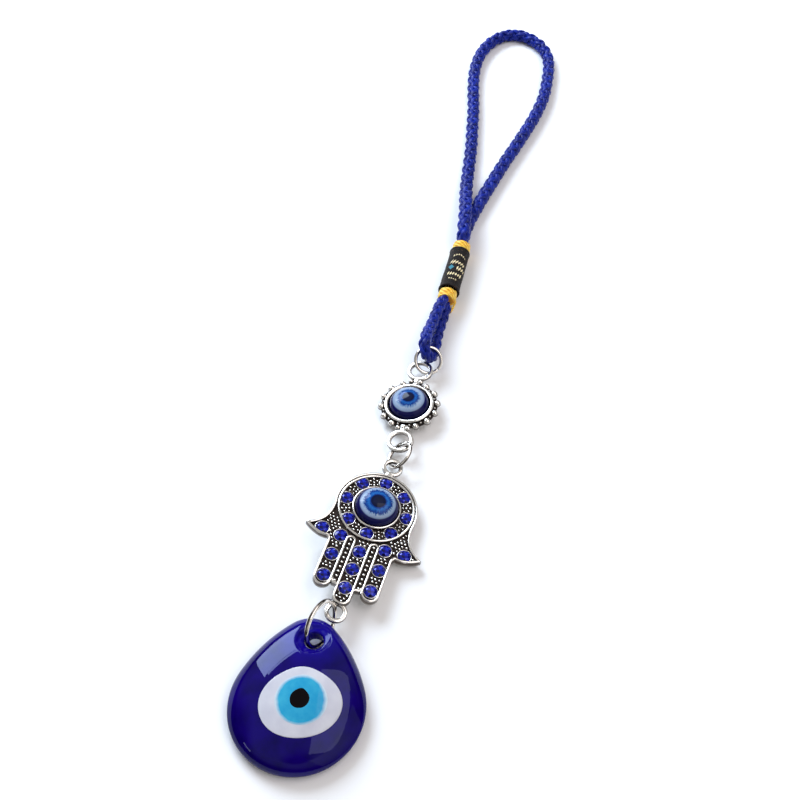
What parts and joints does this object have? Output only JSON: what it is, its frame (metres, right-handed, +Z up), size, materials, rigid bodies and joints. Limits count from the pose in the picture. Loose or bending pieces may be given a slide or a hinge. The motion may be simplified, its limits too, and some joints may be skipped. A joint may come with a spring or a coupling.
{
  "type": "hanging glass eye charm",
  "caption": "Hanging charm: doubled cord loop in a fabric sleeve, jump rings, round connector, stone-set open hand and a domed glass drop with a fused eye.",
  "frame": {"origin": "centre, seen from above, of the metal and glass pieces, on the surface they lie on", "axes": "+Z up off the surface, +Y along the charm towards the cord loop, +X to the right with the eye face up"},
  "size_m": [0.0322, 0.2526, 0.0105],
  "materials": {
    "cord": "satin braid",
    "brocade": "woven, metallic thread",
    "thread": "satin",
    "wire": "polished",
    "cast_metal": "polished, darkened recesses",
    "cabochon": "polished",
    "rhinestone": "faceted",
    "cobalt_glass": "polished",
    "white_glass": "polished",
    "blue_glass": "polished",
    "black_glass": "polished"
  },
  "bodies": {
    "cord_set": {"cord_loop": "cord", "cord_fold": "cord", "cord_core": "cord", "sleeve": "brocade", "wrap_lower": "thread", "wrap_upper": "thread"},
    "ring_top": {"jump_ring_top": "wire"},
    "connector": {"connector_frame": "cast_metal", "connector_eye": "cabochon"},
    "ring_middle": {"jump_ring_middle": "wire"},
    "hand": {"hand_frame": "cast_metal", "hand_eye": "cabochon", "stone_ring_1": "rhinestone", "stone_ring_2": "rhinestone", "stone_ring_3": "rhinestone", "stone_ring_4": "rhinestone", "stone_ring_5": "rhinestone", "stone_ring_6": "rhinestone", "stone_ring_7": "rhinestone", "stone_ring_8": "rhinestone", "stone_left_wing": "rhinestone", "stone_right_wing": "rhinestone", "stone_left_palm": "rhinestone", "stone_right_palm": "rhinestone", "stone_left_finger": "rhinestone", "stone_right_finger": "rhinestone", "stone_left_fingertip": "rhinestone", "stone_right_fingertip": "rhinestone", "stone_middle_knuckle": "rhinestone", "stone_middle_middle": "rhinestone", "stone_middle_tip": "rhinestone"},
    "ring_bottom": {"jump_ring_bottom": "wire"},
    "glass": {"glass_body": "cobalt_glass", "glass_white": "white_glass", "glass_iris": "blue_glass", "glass_pupil": "black_glass"}
  },
  "joints": [
    {"name": "ring_top_fold", "type": "hinge", "parent": "cord_set", "child": "ring_top", "pos_m": [0.00423, 0.05389, 0.00546], "axis": [0.9569, 0.2312, -0.1757], "range_deg": [-18, 15]},
    {"name": "connector_swing", "type": "hinge", "parent": "ring_top", "child": "connector", "pos_m": [0.0027, 0.04897, 0.00236], "axis": [-0.0785, -0.0007, 0.9969], "range_deg": [-30, 20]},
    {"name": "ring_middle_fold", "type": "hinge", "parent": "connector", "child": "ring_middle", "pos_m": [0.00329, 0.02398, 0.00238], "axis": [0.9969, 0.0087, 0.0785], "range_deg": [-10, 25]},
    {"name": "hand_swing", "type": "hinge", "parent": "ring_middle", "child": "hand", "pos_m": [0.0037, 0.01926, 0.0022], "axis": [0.1584, 0.024, 0.9871], "range_deg": [-35, 35]},
    {"name": "ring_bottom_fold", "type": "hinge", "parent": "hand", "child": "ring_bottom", "pos_m": [0.00066, -0.02197, 0.00391], "axis": [0.9852, -0.0709, -0.1563], "range_deg": [-10, 40]},
    {"name": "glass_swing", "type": "hinge", "parent": "ring_bottom", "child": "glass", "pos_m": [-0.00204, -0.02843, 0.00352], "axis": [0.0047, -0.0556, 0.9984], "range_deg": [-35, 35]}
  ]
}
